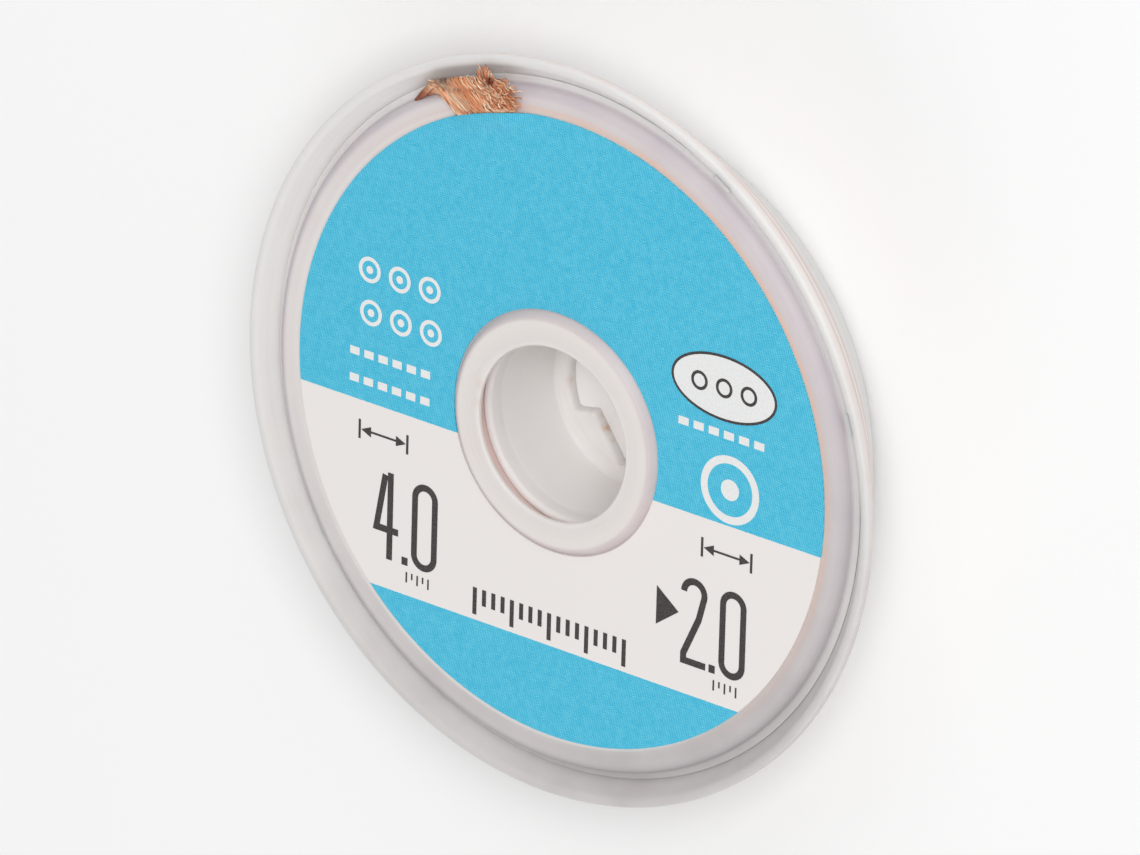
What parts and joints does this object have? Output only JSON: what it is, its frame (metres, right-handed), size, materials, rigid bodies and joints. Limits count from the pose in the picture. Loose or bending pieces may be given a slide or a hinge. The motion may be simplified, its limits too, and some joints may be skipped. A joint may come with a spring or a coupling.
{
  "type": "desoldering braid",
  "caption": "Flat copper braid wound in a conical frosted plastic bobbin with a round cover, a paper label and a hub bore; the braid's end folds over the cover.",
  "frame": {"origin": "middle of the flat back face that the bobbin lies on", "axes": "+Z up along the bobbin's axis, out of the labelled face; +Y up and +X to the right of the label"},
  "size_m": [0.056, 0.056, 0.0107],
  "materials": {
    "dish_plastic": "frosted natural polypropylene",
    "cover_plastic": "frosted natural polypropylene",
    "label_paper": "printed coated paper, blue with a white band",
    "roll_copper": "bare braided copper wire",
    "tail_copper": "bare braided copper wire, frayed"
  },
  "bodies": {
    "root": {"bobbin_dish": "dish_plastic", "bobbin_cover": "cover_plastic", "label": "label_paper", "braid_roll": "roll_copper", "braid_tail": "tail_copper"}
  },
  "joints": []
}
